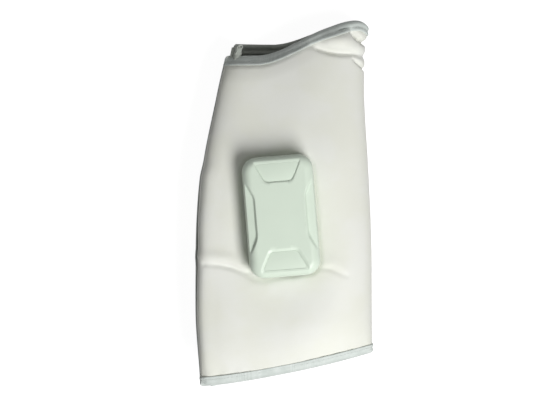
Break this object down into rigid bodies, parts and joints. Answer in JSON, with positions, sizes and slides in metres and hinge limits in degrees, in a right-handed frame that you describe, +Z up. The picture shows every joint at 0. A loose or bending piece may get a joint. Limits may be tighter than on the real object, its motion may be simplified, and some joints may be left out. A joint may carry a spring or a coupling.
{
  "type": "air compression leg massager",
  "caption": "Padded lower-leg wrap that squeezes with inner air bladders; it laps shut along one side and carries a pump pod with press keys on its front.",
  "frame": {"origin": "on the surface that the wrap lies on, under the middle of the whole object's box", "axes": "+X across the wrap towards its fold, +Y along the wrap to its narrow ankle end, +Z up through the control pod"},
  "size_m": [0.1662, 0.3394, 0.0948],
  "materials": {
    "cover_fabric": "satin",
    "lining_fabric": "matte knit",
    "binding_tape": "matte woven",
    "bladder_film": "satin",
    "strip_nylon": "hooks and loops",
    "pod_plastic": "satin",
    "seal_rubber": "matte",
    "board_laminate": "matt lacquer",
    "black_plastic": "matte",
    "white_plastic": "matte",
    "steel": "plain",
    "motor_can": "brushed",
    "cell_wrap": "shrink film",
    "silicone": "satin"
  },
  "bodies": {
    "root": {"back_cover": "cover_fabric", "back_lining": "lining_fabric", "back_calf_bladder": "bladder_film", "back_ankle_bladder": "bladder_film", "back_hem_binding": "binding_tape", "back_mouth_binding": "binding_tape", "back_side_binding": "binding_tape", "loop_strip": "strip_nylon"},
    "front_panel": {"front_cover": "cover_fabric", "front_lining": "lining_fabric", "front_calf_bladder": "bladder_film", "front_ankle_bladder": "bladder_film", "front_hem_binding": "binding_tape", "front_mouth_binding": "binding_tape", "front_side_binding": "binding_tape", "hook_strip": "strip_nylon", "pod_front_shell": "pod_plastic", "pod_back_shell": "pod_plastic", "pod_gasket": "seal_rubber", "circuit_board": "board_laminate", "power_switch": "black_plastic", "mode_switch": "black_plastic", "charge_socket": "steel", "battery_cell": "cell_wrap", "pump_motor": "motor_can", "pump_head": "white_plastic", "tee_fitting": "white_plastic", "ankle_hose": "silicone", "calf_hose": "silicone", "ankle_valve": "black_plastic", "calf_valve": "black_plastic", "ankle_nipple": "white_plastic", "calf_nipple": "white_plastic", "backing_plate": "white_plastic", "clamp_screw_1": "steel", "clamp_screw_2": "steel", "clamp_screw_3": "steel", "clamp_screw_4": "steel"},
    "power_key": {"power_key": "pod_plastic"},
    "mode_key": {"mode_key": "pod_plastic"}
  },
  "joints": [
    {"name": "wrap_opening", "type": "hinge", "parent": "root", "child": "front_panel", "pos_m": [0.0836, 0, 0.0362], "axis": [0, 1, 0], "range_deg": [0, 150]},
    {"name": "power_key_press", "type": "slide", "parent": "front_panel", "child": "power_key", "axis": [0, 0, -1], "range_m": [0, 0.0008], "stiffness_N_per_m": 1500, "springref_m": -0.0006},
    {"name": "mode_key_press", "type": "slide", "parent": "front_panel", "child": "mode_key", "axis": [0, 0, -1], "range_m": [0, 0.0008], "stiffness_N_per_m": 1500, "springref_m": -0.0006}
  ]
}
